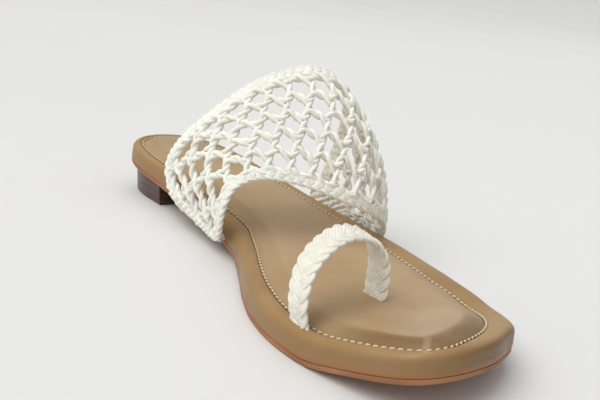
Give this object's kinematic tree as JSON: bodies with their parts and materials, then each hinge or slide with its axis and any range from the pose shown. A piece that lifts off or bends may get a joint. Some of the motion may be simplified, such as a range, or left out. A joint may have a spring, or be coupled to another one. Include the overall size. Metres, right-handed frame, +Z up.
{
  "type": "kolhapuri sandal",
  "caption": "Flat slip-on sandal for the left foot: shaped sole on a low heel, padded insole, wide net band over the instep and a plaited toe ring",
  "frame": {"origin": "middle of the floor rectangle under the whole sandal, on the floor", "axes": "+Z up from the floor; the foot points along -Y, heel at +Y; +X is the outer side of the left foot"},
  "size_m": [0.0966, 0.25, 0.0823],
  "materials": {
    "outsole": "matte terracotta sheet",
    "heel": "dark stained stacked block",
    "footbed": "smooth tan cover with cream stitching",
    "insole": "soft matte tan cover over padding",
    "cord": "ivory twisted cotton cord"
  },
  "bodies": {
    "root": {"outsole": "outsole", "heel": "heel", "footbed": "footbed", "insole": "insole", "band": "cord", "toe_ring": "cord"}
  },
  "joints": []
}
